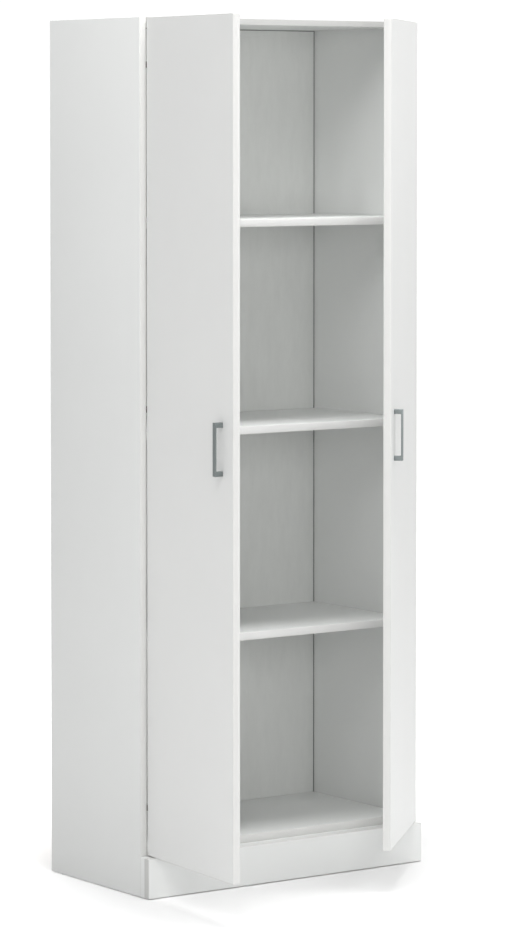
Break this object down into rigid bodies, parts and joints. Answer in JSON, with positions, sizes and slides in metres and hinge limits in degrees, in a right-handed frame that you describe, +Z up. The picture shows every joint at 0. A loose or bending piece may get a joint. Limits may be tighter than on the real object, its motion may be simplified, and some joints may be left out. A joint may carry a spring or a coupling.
{
  "type": "pantry cabinet",
  "caption": "Tall narrow white pantry cabinet with hinged full-overlay doors, shelves, a thin back panel and a forward plinth, for storing food and household goods.",
  "frame": {"origin": "middle of the plinth's underside, on the floor", "axes": "+X to the right seen from the front, +Y to the back, +Z up"},
  "size_m": [0.7298, 0.6891, 1.79],
  "materials": {
    "white_melamine": "satin white melamine on chipboard, thin edge band",
    "back_board": "thin light grey lacquered fibreboard",
    "dowel_beech": "fluted beech",
    "handle_metal": "satin grey",
    "hinge_nickel": "nickel plated",
    "zinc_alloy": "die-cast zinc",
    "zinc_plate": "zinc plated",
    "screw_steel": "zinc plated",
    "buffer_rubber": "clear soft pad"
  },
  "bodies": {
    "carcass": {"back_panel": "back_board", "bottom_panel": "white_melamine", "cam_bolts": "zinc_alloy", "cam_locks": "zinc_alloy", "dowels": "dowel_beech", "left_hinge_arm_pins": "hinge_nickel", "left_hinge_arm_screws": "screw_steel", "left_hinge_arms": "hinge_nickel", "left_hinge_plate_screws": "screw_steel", "left_hinge_plates": "hinge_nickel", "left_side_panel": "white_melamine", "left_toe_block": "white_melamine", "lower_shelf": "white_melamine", "middle_shelf": "white_melamine", "plinth": "white_melamine", "plinth_batten": "white_melamine", "plinth_screws": "screw_steel", "right_hinge_arm_pins": "hinge_nickel", "right_hinge_arm_screws": "screw_steel", "right_hinge_arms": "hinge_nickel", "right_hinge_plate_screws": "screw_steel", "right_hinge_plates": "hinge_nickel", "right_side_panel": "white_melamine", "right_toe_block": "white_melamine", "shelf_pins": "zinc_plate", "top_panel": "white_melamine", "upper_shelf": "white_melamine", "wall_bracket": "zinc_plate", "wall_bracket_screws": "screw_steel"},
    "left_links": {"left_hinge_links": "hinge_nickel"},
    "left_door": {"left_door_buffers": "buffer_rubber", "left_door_panel": "white_melamine", "left_handle": "handle_metal", "left_handle_screws": "screw_steel", "left_hinge_cup_pins": "hinge_nickel", "left_hinge_cup_screws": "screw_steel", "left_hinge_cups": "hinge_nickel"},
    "right_links": {"right_hinge_links": "hinge_nickel"},
    "right_door": {"right_door_buffers": "buffer_rubber", "right_door_panel": "white_melamine", "right_handle": "handle_metal", "right_handle_screws": "screw_steel", "right_hinge_cup_pins": "hinge_nickel", "right_hinge_cup_screws": "screw_steel", "right_hinge_cups": "hinge_nickel"}
  },
  "joints": [
    {"name": "left_link_swing", "type": "hinge", "parent": "carcass", "child": "left_links", "pos_m": [-0.3243, 0.0274, 0.9375], "axis": [0, 0, 1], "range_deg": [-55.02, 0.02]},
    {"name": "left_door_turn", "type": "hinge", "parent": "left_links", "child": "left_door", "pos_m": [-0.32385, 0.00816, 0.9375], "axis": [0, 0, -1], "range_deg": [-150, 0]},
    {"name": "right_link_swing", "type": "hinge", "parent": "carcass", "child": "right_links", "pos_m": [0.3243, 0.0274, 0.9375], "axis": [0, 0, -1], "range_deg": [-25.2, 29.84]},
    {"name": "right_door_turn", "type": "hinge", "parent": "right_links", "child": "right_door", "pos_m": [0.33348, 0.01049, 0.9375], "axis": [0, 0, 1], "range_deg": [-68.68, 81.32]}
  ],
  "couplings": [
    {"joint": "left_link_swing", "follows": "left_door_turn", "ratio": 0.36667},
    {"joint": "right_link_swing", "follows": "right_door_turn", "ratio": 0.36667}
  ]
}
